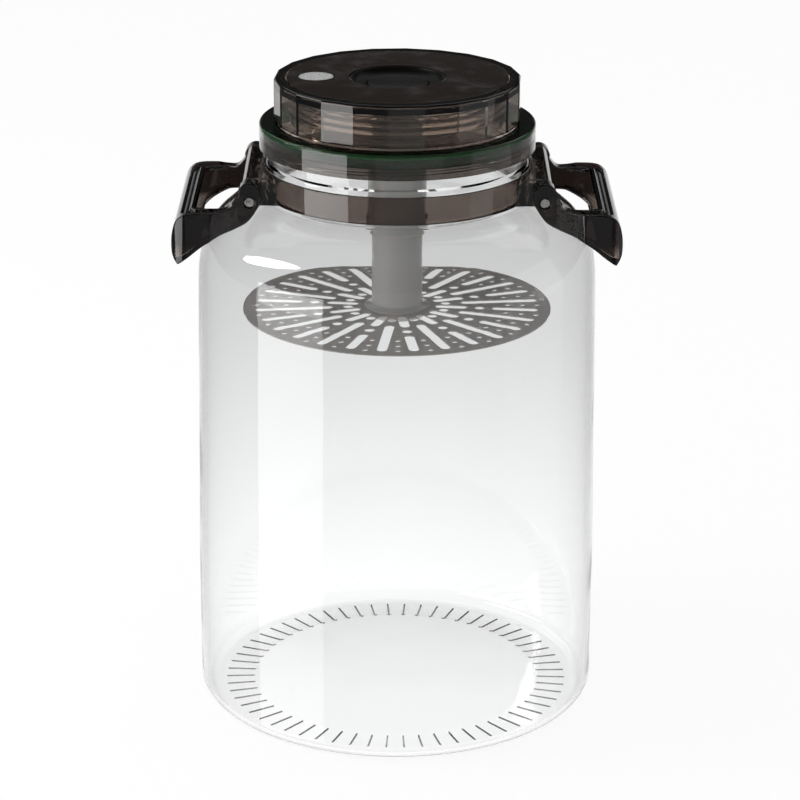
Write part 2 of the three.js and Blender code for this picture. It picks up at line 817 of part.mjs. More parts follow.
// Press plate: thin flexible disc with radial slots and holes; the shares are of its radius
const inner_slot_shares = [0.25, 0.46];
const mid_hole_share = 0.54;
const outer_slot_shares = [0.62, 0.92];
const near_hole_share = 0.32;
const long_slot_shares = [0.42, 0.925];

function slot_path(from_share, to_share, angle) {
  const end = slot_width / 2;
  const path = new THREE.Path();
  const near = plate_radius * from_share + end;
  const far = plate_radius * to_share - end;
  const along = new THREE.Vector2(Math.sin(angle), -Math.cos(angle));
  const heading = Math.atan2(along.y, along.x);
  path.absarc(along.x * far, along.y * far, end, heading - Math.PI / 2, heading + Math.PI / 2);
  path.absarc(along.x * near, along.y * near, end, heading + Math.PI / 2, heading + Math.PI * 3 / 2);
  path.closePath();
  return path;
}

function hole_path(share, radius, angle) {
  const path = new THREE.Path();
  const reach = plate_radius * share;
  path.absarc(reach * Math.sin(angle), -reach * Math.cos(angle), radius, 0, 2 * Math.PI);
  return path;
}

function make_press_plate() {
  const outline = new THREE.Shape();
  outline.absarc(0, 0, plate_radius, 0, 2 * Math.PI);
  const sheet = new THREE.ExtrudeGeometry(outline, {
    depth: plate_thickness,
    bevelEnabled: false,
    curveSegments: middle_sides,
  });
  const hub = disc(spigot_radius + running_gap, -overrun, plate_thickness + overrun, middle_sides);
  const cuts = [];
  for (let i = 0; i < slot_lines; i += 1) {
    const line = first_slot_angle + (2 * Math.PI * i) / slot_lines;
    const between = line + Math.PI / slot_lines;
    cuts.push(slot_path(...inner_slot_shares, line), hole_path(mid_hole_share, slot_width / 2, line));
    cuts.push(slot_path(...outer_slot_shares, line), hole_path(near_hole_share, slot_width / 2, between));
    cuts.push(slot_path(...long_slot_shares, between));
  }
  const cutters = cuts.map((path) => {
    const cutter = new THREE.ExtrudeGeometry(new THREE.Shape(path.getPoints(slot_end_steps)), {
      depth: plate_thickness + 2 * overrun,
      bevelEnabled: false,
    });
    cutter.translate(0, 0, -overrun);
    return cutter;
  });
  return shape_of(solid(sheet).subtract(solid(mergeGeometries(cutters))).subtract(solid(hub)));
}

add_piece('press_plate', make_press_plate(), grey_plastic, [0, 0, plate_top_z - plate_thickness]);

const plate_clip_top_z = plate_top_z - plate_thickness - seat_gap;
const plate_clip_z = plate_clip_top_z - plate_clip_thickness;
const clip_bore = spigot_radius + running_gap;
add_piece('plate_clip', ring(clip_bore, plate_clip_radius, plate_clip_z, plate_clip_top_z, middle_sides),
  grey_plastic);

// Least gap between neighbouring curls of the spring, measured on points along the wire
function least_gap() {
  const path = new Helix(spring_radius, spring_low, spring_high, spring_curls);
  const per_curl = 24;
  const points = path.getPoints(per_curl * spring_curls);
  let least = Infinity;
  points.forEach((point, i) => {
    points.slice(i + per_curl / 2).forEach((other) => {
      least = Math.min(least, point.distanceTo(other) - 2 * spring_wire_radius);
    });
  });
  return least;
}

console.log(`vent_spring least gap ${least_gap().toFixed(2)} mm`);

export default jar;
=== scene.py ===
import math

import bpy
from mathutils import Matrix, Quaternion, Vector


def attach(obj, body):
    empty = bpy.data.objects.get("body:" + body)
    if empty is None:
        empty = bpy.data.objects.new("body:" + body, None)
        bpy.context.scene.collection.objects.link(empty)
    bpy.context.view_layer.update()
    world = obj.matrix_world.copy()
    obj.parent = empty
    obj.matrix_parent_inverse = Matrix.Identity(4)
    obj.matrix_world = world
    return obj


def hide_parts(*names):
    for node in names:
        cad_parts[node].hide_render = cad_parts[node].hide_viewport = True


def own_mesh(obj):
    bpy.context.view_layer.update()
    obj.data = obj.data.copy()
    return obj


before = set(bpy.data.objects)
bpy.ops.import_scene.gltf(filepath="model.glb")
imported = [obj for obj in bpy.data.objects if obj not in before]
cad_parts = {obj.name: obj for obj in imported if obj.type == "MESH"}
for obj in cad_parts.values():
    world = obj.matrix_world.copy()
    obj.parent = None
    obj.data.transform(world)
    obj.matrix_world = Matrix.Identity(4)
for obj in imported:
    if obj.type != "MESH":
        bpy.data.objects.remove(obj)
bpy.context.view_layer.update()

# Camera: a long lens 1.2 m in front of the jar, looking down on it as the photograph does.
# The frame is turned a hair, because the jar in the photograph leans a hair to the right.
MM = 0.001
photo_side = 800
focal_pixels = 2930
look_down = 19.93
frame_turn = 0.21
camera_x, camera_y, camera_z = 1.473, -1193.74, 563.83
bpy.ops.object.select_all(action="DESELECT")
bpy.ops.object.camera_add(location=(camera_x * MM, camera_y * MM, camera_z * MM))
camera = bpy.context.object
camera.name = "photo_camera"
camera.rotation_mode = "ZYX"
camera.rotation_euler = (math.radians(90 - look_down), 0, math.radians(frame_turn))
camera.data.sensor_width = 36
camera.data.lens = camera.data.sensor_width * focal_pixels / photo_side
bpy.context.scene.camera = camera
bpy.context.scene.view_settings.view_transform = "Standard"

# Floor: a wide pale sheet under the jar, lit by the lamps and topped up to white for the camera and glass.
# Through glass it fades away from the jar, as a lit table does. Gloss looks past it to the room,
# so that upright walls mirror the lamps down to their foot.
floor_drop = 0.2
floor_radius, floor_sides = 4, 96
floor_colour = 0.12
floor_bounce = 0.9
floor_top_up = 0.9
near_level, far_level = 1.03, 0.58
near_reach, far_reach = 0.1, 0.66
fade_power = 1.5
bpy.ops.mesh.primitive_circle_add(vertices=floor_sides, radius=floor_radius, fill_type="NGON",
                                  location=(0, 0, -floor_drop * MM))
floor = bpy.context.object
floor.name = "studio_floor"
floor.visible_glossy = False


def new_finish(name, settings):
    """A material with one Principled shader, and constants set on the shader's own sockets."""
    material = bpy.data.materials.new(name)
    material.use_nodes = True
    shader = material.node_tree.nodes["Principled BSDF"]
    for socket, value in settings.items():
        shader.inputs[socket].default_value = value
    return material


def add_node(tree, kind, settings=None, links=None, **attributes):
    """A node with its attributes, its constant inputs and the outputs that feed it."""
    node = tree.nodes.new(kind)
    for attribute, value in attributes.items():
        setattr(node, attribute, value)
    for socket, value in (settings or {}).items():
        node.inputs[socket].default_value = value
    for socket, source in (links or {}).items():
        tree.links.new(source, node.inputs[socket])
    return node


pale_floor = new_finish("pale_floor", {"Roughness": 0.9, "Emission Color": (1, 1, 1, 1)})
tree = pale_floor.node_tree
path = add_node(tree, "ShaderNodeLightPath")
camera_ray, glass_ray = path.outputs["Is Camera Ray"], path.outputs["Is Transmission Ray"]
seen = add_node(tree, "ShaderNodeMath", links={0: camera_ray, 1: glass_ray}, operation="MAXIMUM")
colour = add_node(tree, "ShaderNodeMix", {"A": floor_bounce, "B": floor_colour}, {"Factor": seen.outputs[0]})
place = add_node(tree, "ShaderNodeTexCoord")
reach = add_node(tree, "ShaderNodeVectorMath", links={0: place.outputs["Object"]}, operation="LENGTH")
inward = add_node(tree, "ShaderNodeMapRange", {"From Min": far_reach, "From Max": near_reach},
                  {"Value": reach.outputs["Value"]})
curve = add_node(tree, "ShaderNodeMath", {1: fade_power}, {0: inward.outputs[0]}, operation="POWER")
fade = add_node(tree, "ShaderNodeMapRange", {"To Min": far_level, "To Max": near_level},
                {"Value": curve.outputs[0]})
through = add_node(tree, "ShaderNodeMath", links={0: glass_ray, 1: fade.outputs[0]}, operation="MULTIPLY")
direct = add_node(tree, "ShaderNodeMath", {1: floor_top_up}, {0: camera_ray}, operation="MULTIPLY")
top_up = add_node(tree, "ShaderNodeMath", links={0: direct.outputs[0], 1: through.outputs[0]},
                  operation="MAXIMUM")
shader = tree.nodes["Principled BSDF"]
tree.links.new(colour.outputs[0], shader.inputs["Base Color"])
tree.links.new(top_up.outputs[0], shader.inputs["Emission Strength"])
floor.data.materials.append(pale_floor)

# Room: white for the camera, a dim even fill for matt surfaces, and for gloss a white wall low behind the
# jar. A dark band above that wall keeps lid and knob dark, and a pale panel hangs high behind the jar.
fill_level = 0.5
wall_level = 1.0
front_level = 0.15
ceiling_level = 0.03
panel_level = 0.6
wall_side, wall_middle = 0.8, 0.99
wall_top, band_foot = 0.04, 0.21
band_top, panel_foot = 0.36, 0.46
panel_side = 0.3
first_bounce = 0.5
room = bpy.data.worlds.new("studio_room")
bpy.context.scene.world = room
room.use_nodes = True
tree = room.node_tree
path = add_node(tree, "ShaderNodeLightPath")
place = add_node(tree, "ShaderNodeTexCoord")
axes = add_node(tree, "ShaderNodeSeparateXYZ", links={0: place.outputs["Generated"]})
level_way = add_node(tree, "ShaderNodeCombineXYZ", links={"X": axes.outputs["X"], "Y": axes.outputs["Y"]})
heading = add_node(tree, "ShaderNodeVectorMath", links={0: level_way.outputs[0]}, operation="NORMALIZE")
straight = add_node(tree, "ShaderNodeSeparateXYZ", links={0: heading.outputs[0]})
behind = add_node(tree, "ShaderNodeMapRange", {"From Min": wall_side, "From Max": wall_middle,
                                               "To Min": front_level, "To Max": wall_level},
                  {"Value": straight.outputs["Y"]})
above = add_node(tree, "ShaderNodeMapRange", {"From Min": wall_top, "From Max": band_foot},
                 {"Value": axes.outputs["Z"]})
high = add_node(tree, "ShaderNodeMapRange", {"From Min": band_top, "From Max": panel_foot},
                {"Value": axes.outputs["Z"]})
far_side = add_node(tree, "ShaderNodeMath", {1: panel_side}, {0: axes.outputs["Y"]}, operation="GREATER_THAN")
panel = add_node(tree, "ShaderNodeMath", links={0: high.outputs[0], 1: far_side.outputs[0]},
                 operation="MULTIPLY")
ceiling = add_node(tree, "ShaderNodeMix", {"A": ceiling_level, "B": panel_level},
                   {"Factor": panel.outputs[0]})
mirrored = add_node(tree, "ShaderNodeMix", links={"Factor": above.outputs[0], "A": behind.outputs[0],
                                                  "B": ceiling.outputs[0]})
scattered = add_node(tree, "ShaderNodeMath", {1: first_bounce}, {0: path.outputs["Diffuse Depth"]},
                     operation="GREATER_THAN")
matt = add_node(tree, "ShaderNodeMix", {"B": fill_level},
                {"Factor": scattered.outputs[0], "A": mirrored.outputs[0]})
level = add_node(tree, "ShaderNodeMix", {"B": 1.0},
                 {"Factor": path.outputs["Is Camera Ray"], "A": matt.outputs[0]})
tree.links.new(level.outputs[0], tree.nodes["Background"].inputs["Strength"])
tree.nodes["Background"].inputs["Color"].default_value = (1, 1, 1, 1)

# Lamps: soft boxes. A bright one stands low on the left, and dim ones span the front and the right.
# They reach below the floor, which only gloss looks past, and fade towards their foot.
# A small oval panel hangs high on the left and puts the long glint on the shoulder.
foot_share = 0.38
shoulder_level = 0.2
fade_low, fade_high = -0.42, -0.1


def soft_box(name, middle, width, height, radiance, shape="RECTANGLE", roll=0.0):
    """A panel lamp that faces the centre line: level if it is tall, and else at the shoulder; metres."""
    aim = Vector((0, 0, middle[2] if height > width else shoulder_level)) - Vector(middle)
    facing = aim.to_track_quat("-Z", "Y") @ Quaternion((0, 0, 1), math.radians(roll))
    bpy.ops.object.light_add(type="AREA", location=middle, rotation=facing.to_euler())
    lamp = bpy.context.object
    lamp.name = name
    lamp.data.shape = shape
    lamp.data.size = width
    lamp.data.size_y = height
    lamp.data.energy = radiance * math.pi * width * height
    lamp.visible_camera = False
    lamp.data.use_nodes = True
    tree = lamp.data.node_tree
    spot = add_node(tree, "ShaderNodeNewGeometry")
    level = add_node(tree, "ShaderNodeSeparateXYZ", links={0: spot.outputs["Position"]})
    share = add_node(tree, "ShaderNodeMapRange", {"From Min": fade_low, "From Max": fade_high,
                                                  "To Min": foot_share, "To Max": 1.0},
                     {"Value": level.outputs["Z"]})
    tree.links.new(share.outputs[0], tree.nodes["Emission"].inputs["Strength"])


soft_box("left_lamp", (-1.153, -0.6, -0.295), 1.02, 1.31, 3.9)
soft_box("front_lamp", (0.3, -1.77, -0.15), 1.9, 2.1, 0.3)
soft_box("right_lamp", (1.49, -0.13, -0.1), 1.2, 1.8, 0.4)
soft_box("high_lamp", (-1.2, -0.04, 0.84), 0.95, 0.24, 9.0, "ELLIPSE", 32)

# Jar body: one blown skin of clear plastic, with a rolled shoulder, a threaded neck and a shallow base.
# Sixty short grooves lie round the base ring, and a bead under the thread keeps the neck ring on.
merge_distance = 1e-6
jar_sides = 240
foot_radius = 79.4
foot_corner = 7
widest_z = 60
widest_radius = 86.4
jar_wall = 1.8
neck_radius = 55
mouth_radius = 52.3
neck_z = 225.5
rim_z = 251.3
shoulder_drop = 38.5
shoulder_radius = 84.6
shoulder_shares = [(0, 0), (0.18, 0.034), (0.36, 0.086), (0.54, 0.171), (0.71, 0.275), (0.85, 0.43),
                   (0.94, 0.61), (0.985, 0.805), (1, 1)]
rib_count = 60
rib_radii = (63.2, 75.4)
rib_foot, rib_top = 0.45, 0.25
rib_depth = 0.9
thread_pitch = 5
thread_widths = (1.6, 0.9)


def start_outline(name, first):
    """A new piece in edit mode that is one corner, at the first place."""
    bpy.ops.object.select_all(action="DESELECT")
    bpy.ops.mesh.primitive_circle_add(vertices=3, radius=MM)
    piece = bpy.context.object
    piece.name = piece.data.name = name
    bpy.ops.object.mode_set(mode="EDIT")
    bpy.ops.mesh.select_mode(type="VERT")
    bpy.ops.mesh.select_all(action="SELECT")
    bpy.ops.mesh.merge(type="CENTER")
    bpy.ops.transform.translate(value=first)
    return piece


def draw_outline(name, places):
    """Edges drawn from place to place by extruding a corner, left in edit mode and all selected."""
    piece = start_outline(name, places[0])
    for here, there in zip(places, places[1:]):
        bpy.ops.mesh.extrude_region_move(TRANSFORM_OT_translate={"value": there - here})
    bpy.ops.mesh.select_all(action="SELECT")
    bpy.ops.mesh.remove_doubles(threshold=merge_distance)
    return piece


def close_mesh():
    """Merges doubled corners and points the faces out, in edit mode."""
    bpy.ops.mesh.select_all(action="SELECT")
    bpy.ops.mesh.remove_doubles(threshold=merge_distance)
    bpy.ops.mesh.dissolve_degenerate(threshold=merge_distance)
    bpy.ops.mesh.select_all(action="SELECT")
    bpy.ops.mesh.normals_make_consistent(inside=False)


def in_plane(outline, heading=0.0):
    """Places of (radius, height) pairs in mm, on the upright plane at that heading from the front."""
    out = Vector((math.sin(heading), -math.cos(heading), 0))
    return [(out * radius + Vector((0, 0, height))) * MM for radius, height in outline]


def turned(name, outline, sides, heading=0.0, ring=True):
    """A round piece: an outline of (radius, height) pairs in mm spun round the jar's centre line."""
    path = outline + outline[:1] if ring else outline
    piece = draw_outline(name, in_plane(path, heading))
    bpy.ops.mesh.select_all(action="SELECT")
    bpy.ops.mesh.spin(steps=sides, angle=2 * math.pi, center=(0, 0, 0), axis=(0, 0, 1))
    close_mesh()
    bpy.ops.object.mode_set(mode="OBJECT")
    return piece


def drawn(name, places, lift):
    """A solid drawn as a flat outline, filled and extruded."""
    piece = draw_outline(name, places + places[:1])
    bpy.ops.mesh.select_all(action="SELECT")
    bpy.ops.mesh.edge_face_add()
    bpy.ops.mesh.extrude_region_move(TRANSFORM_OT_translate={"value": lift})
    close_mesh()
    bpy.ops.object.mode_set(mode="OBJECT")
    return piece


def at_heading(reach, across, heading, height):
    """A place that far out along a heading from the front, and that far across it, in mm."""
    out = Vector((math.sin(heading), -math.cos(heading), 0))
    side = Vector((math.cos(heading), math.sin(heading), 0))
    return (out * reach + side * across + Vector((0, 0, height))) * MM


def repeat_round(piece, count):
    """Copies a cutter round the centre line, within its own mesh."""
    bpy.ops.object.select_all(action="DESELECT")
    piece.select_set(True)
    bpy.context.view_layer.objects.active = piece
    bpy.ops.object.mode_set(mode="EDIT")
    bpy.ops.mesh.select_all(action="SELECT")
    bpy.ops.mesh.spin(steps=count - 1, dupli=True, angle=2 * math.pi * (count - 1) / count, center=(0, 0, 0),
                      axis=(0, 0, 1))
    bpy.ops.object.mode_set(mode="OBJECT")


def apply_modifier(piece, kind, **settings):
    """Adds a modifier with its settings and applies it."""
    bpy.ops.object.select_all(action="DESELECT")
    piece.select_set(True)
    bpy.context.view_layer.objects.active = piece
    modifier = piece.modifiers.new(kind.lower(), kind)
    for setting, value in settings.items():
        setattr(modifier, setting, value)
    bpy.ops.object.modifier_apply(modifier=modifier.name)


def combine(piece, other, operation):
    """Adds, cuts or keeps what is common, and removes the other solid."""
    apply_modifier(piece, "BOOLEAN", operation=operation, object=other, solver="EXACT")
    bpy.data.objects.remove(other)


def soften(piece, width, segments=2, angle=30):
    """Rounds the sharp edges."""
    apply_modifier(piece, "BEVEL", width=width * MM, segments=segments, limit_method="ANGLE",
                   angle_limit=math.radians(angle), use_clamp_overlap=False, harden_normals=False)


def shade(piece, angle=30):
    """Smooth shading except over edges sharper than the angle; flat faces stay flat up to their edges."""
    bpy.ops.object.select_all(action="DESELECT")
    piece.select_set(True)
    bpy.context.view_layer.objects.active = piece
    bpy.ops.object.shade_smooth_by_angle(angle=math.radians(angle))
    apply_modifier(piece, "WEIGHTED_NORMAL", keep_sharp=True)


def dress(piece, material, body, slot, *nodes):
    """Gives a finished piece its material and body, and hides the nodes that it stands for; the slot is not
    used.
    """
    piece.data.materials.clear()
    piece.data.materials.append(material)
    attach(piece, body)
    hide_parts(*nodes)


def arc(radius, height, size, start, end, steps):
    """Corners of a quarter round or other arc in an outline; angles in degrees."""
    turns = [math.radians(start + (end - start) * i / steps) for i in range(steps + 1)]
    return [(radius + size * math.cos(turn), height + size * math.sin(turn)) for turn in turns]


def smooth_curve(points, steps):
    """A soft curve through the points, with that many steps between each two."""
    ends = [points[0], *points, points[-1]]
    curve = []
    for before, here, there, after in zip(ends, ends[1:], ends[2:], ends[3:]):
        for i in range(steps):
            t = i / steps
            curve.append(tuple(
                0.5 * (2 * b + (c - a) * t + (2 * a - 5 * b + 4 * c - d) * t * t
                       + (3 * b - a - 3 * c + d) * t ** 3)
                for a, b, c, d in zip(before, here, there, after)))
    return curve + [points[-1]]


def shoulder(inner, outer, top, drop):
    """The shoulder's outline from the neck outwards and down."""
    points = [(inner + share * (outer - inner), top - down * drop) for share, down in shoulder_shares]
    return smooth_curve(points, 4)


def wound(name, section, pitch, turns, start, steps):
    """A ridge or wire wound up round the centre line: a closed section of (radius, height) pairs in mm."""
    heading = math.pi / 2 + start
    piece = draw_outline(name, in_plane(section + section[:1], heading))
    bpy.ops.object.mode_set(mode="OBJECT")
    apply_modifier(piece, "SCREW", axis="Z", angle=2 * math.pi * turns, screw_offset=pitch * turns * MM,
                   steps=round(steps * turns), render_steps=round(steps * turns), use_merge_vertices=False)
    bpy.ops.object.mode_set(mode="EDIT")
    bpy.ops.mesh.select_all(action="SELECT")
    bpy.ops.mesh.fill_holes(sides=0)
    close_mesh()
    bpy.ops.object.mode_set(mode="OBJECT")
    return piece


def thread_section(root, crest, height, root_width, crest_width):
    """The four corners of a thread's ridge."""
    return [(root, height - root_width / 2), (crest, height - crest_width / 2),
            (crest, height + crest_width / 2), (root, height + root_width / 2)]


def inset(curve, depth):
    """The same curve moved in by the wall, square to itself."""
    moved = []
    for i, (radius, height) in enumerate(curve):
        (r0, z0), (r1, z1) = curve[max(i - 1, 0)], curve[min(i + 1, len(curve) - 1)]
        length = math.hypot(r1 - r0, z1 - z0)
        moved.append((radius + (z1 - z0) / length * depth, height - (r1 - r0) / length * depth))
    return moved


skin = shoulder(neck_radius + 2, shoulder_radius, neck_z, shoulder_drop)
neck_corner = neck_radius + 2 - mouth_radius
jar_outside = [
    (0, 0.9), (60.5, 0.9), (63.5, 0), (75, 0),
    *arc(foot_radius, foot_corner, foot_corner, -90, 0, 10),
    (widest_radius, widest_z),
    *reversed(skin),
    (neck_radius + 0.6, neck_z + 0.1), (neck_radius, neck_z + 0.7),
    (neck_radius, 238), (56.2, 238.1), (56.2, 240.2), (neck_radius, 240.8),
    *arc(neck_radius - 0.6, rim_z - 0.6, 0.6, 0, 90, 3),
]
jar_inside = [
    *arc(mouth_radius + 0.5, rim_z - 0.5, 0.5, 90, 180, 3),
    *arc(neck_radius + 2, neck_z - jar_wall + neck_corner, neck_corner, 180, 260, 6),
    *inset(skin, jar_wall),
    (widest_radius - jar_wall, widest_z),
    *arc(foot_radius, foot_corner, foot_corner - jar_wall, 0, -90, 8),
    (63.5, 1.8), (60.5, 2.7), (0, 2.7),
]
jar = turned("blown_jar", jar_outside + jar_inside, jar_sides, ring=False)
rib_angle = math.radians(3)
rib_section = [(-rib_foot, -0.1), (rib_foot, -0.1), (rib_top, rib_depth), (-rib_top, rib_depth)]
rib = drawn("rib", [at_heading(rib_radii[0], across, rib_angle, height) for across, height in rib_section],
            at_heading(rib_radii[1] - rib_radii[0], 0, rib_angle, 0))
repeat_round(rib, rib_count)
combine(jar, rib, "DIFFERENCE")
neck_ridge = thread_section(neck_radius - 1.3, neck_radius + 1.1, 242.7, *thread_widths)
neck_thread = wound("neck_thread", neck_ridge, pitch=thread_pitch, turns=1.5, start=0, steps=120)
combine(jar, neck_thread, "UNION")
shade(jar, 25)


def new_group(name, inputs, outputs):
    """A shader group with named sockets: its tree, the node that gives its inputs and its output node."""
    group = bpy.data.node_groups.new(name, "ShaderNodeTree")
    for socket, kind, value in inputs:
        made = group.interface.new_socket(socket, in_out="INPUT", socket_type=kind)
        made.default_value = value
    for socket, kind in outputs:
        group.interface.new_socket(socket, in_out="OUTPUT", socket_type=kind)
    return group, group.nodes.new("NodeGroupInput"), group.nodes.new("NodeGroupOutput")


# The surface of moulded plastic: a slow drift between two tones, faint scuffs that change its gloss,
# and a long soft waviness from the mould.
moulded, given, result = new_group("moulded_surface", [
    ("Tone", "NodeSocketColor", (1, 1, 1, 1)), ("Second Tone", "NodeSocketColor", (0.9, 0.9, 0.9, 1)),
    ("Drift Scale", "NodeSocketFloat", 20), ("Drift Contrast", "NodeSocketFloat", 1),
    ("Gloss", "NodeSocketFloat", 0.03),
    ("Scuffed", "NodeSocketFloat", 0.1), ("Scuff Scale", "NodeSocketFloat", 150),
    ("Wave Scale", "NodeSocketFloat", 40), ("Wave Height", "NodeSocketFloat", 0.00002),
], [("Color", "NodeSocketColor"), ("Roughness", "NodeSocketFloat"), ("Normal", "NodeSocketVector")])
place = add_node(moulded, "ShaderNodeTexCoord")
drift = add_node(moulded, "ShaderNodeTexNoise", {"Detail": 2},
                 {"Vector": place.outputs["Object"], "Scale": given.outputs["Drift Scale"]})
centred = add_node(moulded, "ShaderNodeMath", {1: 0.5}, {0: drift.outputs[0]}, operation="SUBTRACT")
spread = add_node(moulded, "ShaderNodeMath", {2: 0.5},
                  {0: centred.outputs[0], 1: given.outputs["Drift Contrast"]},
                  operation="MULTIPLY_ADD", use_clamp=True)
tone = add_node(moulded, "ShaderNodeMix", data_type="RGBA")
moulded.links.new(spread.outputs[0], tone.inputs[0])
moulded.links.new(given.outputs["Tone"], tone.inputs[6])
moulded.links.new(given.outputs["Second Tone"], tone.inputs[7])
scuff = add_node(moulded, "ShaderNodeTexNoise", {"Detail": 6, "Roughness": 0.65},
                 {"Vector": place.outputs["Object"], "Scale": given.outputs["Scuff Scale"]})
gloss = add_node(moulded, "ShaderNodeMapRange", {"From Min": 0.5, "From Max": 0.85},
                 {"Value": scuff.outputs[0], "To Min": given.outputs["Gloss"],
                  "To Max": given.outputs["Scuffed"]})
wave = add_node(moulded, "ShaderNodeTexNoise", {"Detail": 1},
                {"Vector": place.outputs["Object"], "Scale": given.outputs["Wave Scale"]})
bump = add_node(moulded, "ShaderNodeBump", None,
                {"Height": wave.outputs[0], "Distance": given.outputs["Wave Height"]})
moulded.links.new(tone.outputs[2], result.inputs["Color"])
moulded.links.new(gloss.outputs[0], result.inputs["Roughness"])
moulded.links.new(bump.outputs[0], result.inputs["Normal"])


def finish(name, tone, second, settings, **surface):
    """A plastic or metal whose tone, gloss and waviness come from the moulded surface."""
    material = new_finish(name, settings)
    tree = material.node_tree
    group = add_node(tree, "ShaderNodeGroup", node_tree=moulded)
    group.inputs["Tone"].default_value = (*tone, 1)
    group.inputs["Second Tone"].default_value = (*second, 1)
    for socket, value in surface.items():
        group.inputs[socket.replace("_", " ").title()].default_value = value
    shader = tree.nodes["Principled BSDF"]
    tree.links.new(group.outputs["Color"], shader.inputs["Base Color"])
    tree.links.new(group.outputs["Roughness"], shader.inputs["Roughness"])
    tree.links.new(group.outputs["Normal"], shader.inputs["Normal"])
    return material


clear_plastic = finish("clear_plastic", (0.99, 0.992, 0.992), (0.97, 0.975, 0.975),
                       {"Transmission Weight": 1.0, "IOR": 1.5},
                       gloss=0.0, scuffed=0.04, scuff_scale=60, wave_scale=28, wave_height=0.00012)


def distance_out(tree):
    """How far a point lies from the centre line."""
    place = add_node(tree, "ShaderNodeTexCoord")
    axes = add_node(tree, "ShaderNodeSeparateXYZ", links={0: place.outputs["Object"]})
    flat = add_node(tree, "ShaderNodeCombineXYZ", links={"X": axes.outputs["X"], "Y": axes.outputs["Y"]})
    length = add_node(tree, "ShaderNodeVectorMath", links={0: flat.outputs[0]}, operation="LENGTH")
    return length.outputs["Value"]


def height_up(tree):
    """How high a point lies."""
    place = add_node(tree, "ShaderNodeTexCoord")
    return add_node(tree, "ShaderNodeSeparateXYZ", links={0: place.outputs["Object"]}).outputs["Z"]


def within(tree, value, low, high):
    """One where a value lies between two sizes in mm, and else nought."""
    over = add_node(tree, "ShaderNodeMath", {1: low * MM}, {0: value}, operation="GREATER_THAN")
    under = add_node(tree, "ShaderNodeMath", {1: high * MM}, {0: value}, operation="LESS_THAN")
    return add_node(tree, "ShaderNodeMath", links={0: over.outputs[0], 1: under.outputs[0]},
                    operation="MULTIPLY").outputs[0]


def both(tree, first, second):
    """One where both masks are one."""
    return add_node(tree, "ShaderNodeMath", links={0: first, 1: second}, operation="MULTIPLY").outputs[0]


def tinted(tree, mask, under, tone):
    """Lays a tone over another where the mask is one."""
    mix = add_node(tree, "ShaderNodeMix", data_type="RGBA")
    tree.links.new(mask, mix.inputs[0])
    tree.links.new(under, mix.inputs[6])
    mix.inputs[7].default_value = (*tone, 1)
    return mix.outputs[2]


# The grooves' walls are tinted dark grey as painted shade, and show as thin grey strokes.
groove_shade_tone = (0.12, 0.12, 0.12)
groove_levels = (0.03, rib_depth + 0.2)
groove_reach = (rib_radii[0] + 0.4, rib_radii[1] + 0.1)
tree = clear_plastic.node_tree
groove_shade_mask = both(tree, within(tree, height_up(tree), *groove_levels),
               within(tree, distance_out(tree), *groove_reach))
tone = tinted(tree, groove_shade_mask, tree.nodes["Group"].outputs["Color"], groove_shade_tone)
tree.links.new(tone, tree.nodes["Principled BSDF"].inputs["Base Color"])
dress(jar, clear_plastic, "jar", "clear_plastic", "jar_body")

# Neck ring: a smoked band snapped under the neck's bead. A box lug on each side is open at the top
# and carries the handle's steel pin along its outer edge.
ring_bore = 55.3
ring_outer = 56.75
ring_low, ring_high = 226.3, 237.8
lug_half = 27
lug_inner, lug_outer = 47.9, 63.95
lug_low, lug_high = 226.0, 237.5
lug_slope = 1.5
lug_wall, lug_end_wall = 1.8, 1.6
pocket_inner, pocket_floor = 57.2, 232.3
pin_x, pin_z = 60.85, 229.2
pin_radius = 2.0
pin_bore = 2.3
room_low, room_high = 220, 242


def block(name, low, high):
    """A box from its lowest to its highest corner, in mm."""
    low, high = Vector(low) * MM, Vector(high) * MM
    bpy.ops.object.select_all(action="DESELECT")
    bpy.ops.mesh.primitive_cube_add(size=1, location=(low + high) / 2, scale=high - low)
    bpy.ops.object.transform_apply(location=True, rotation=True, scale=True)
    bpy.context.object.name = name
    return bpy.context.object


def rod(name, middle, radius, length, along, sides=32):
    """A round bar with its middle at a place in mm, along X, Y or Z."""
    turn = {"X": (0, math.pi / 2, 0), "Y": (math.pi / 2, 0, 0), "Z": (0, 0, 0)}[along]
    bpy.ops.object.select_all(action="DESELECT")
    bpy.ops.mesh.primitive_cylinder_add(vertices=sides, radius=radius * MM, depth=length * MM,
                                        location=Vector(middle) * MM, rotation=turn)
    bpy.ops.object.transform_apply(location=True, rotation=True, scale=True)
    bpy.context.object.name = name
    return bpy.context.object


ring_sides = 160
neck_ring = turned("clamp_ring", [(ring_bore - 1, ring_low), (ring_outer, ring_low), (ring_outer, ring_high),
                                  (ring_bore - 1, ring_high)], ring_sides)
for side in (1, -1):
    near, far = sorted((side * lug_inner, side * lug_outer))
    lug = block("lug", (near, -lug_half, lug_low), (far, lug_half, lug_high))
    slope = [(side * lug_outer, lug_high - lug_slope), (side * (lug_outer - lug_slope), lug_high),
             (side * (lug_outer + 1), lug_high + 1)]
    places = [Vector((x, -lug_half - 1, z)) * MM for x, z in slope]
    combine(lug, drawn("slope", places, Vector((0, 2 * lug_half + 2, 0)) * MM), "DIFFERENCE")
    near, far = sorted((side * pocket_inner, side * (lug_outer - lug_wall)))
    pocket = block("pocket", (near, lug_end_wall - lug_half, pocket_floor),
                   (far, lug_half - lug_end_wall, lug_high + 1))
    combine(lug, pocket, "DIFFERENCE")
    combine(neck_ring, lug, "UNION")
    bore = rod("pin_bore", (side * pin_x, 0, pin_z), pin_bore, 2 * (lug_half + 3), "Y")
    combine(neck_ring, bore, "DIFFERENCE")
neck_room = turned("neck_room", [(0, room_low), (ring_bore, room_low), (ring_bore, room_high),
                                 (0, room_high)], ring_sides, ring=False)
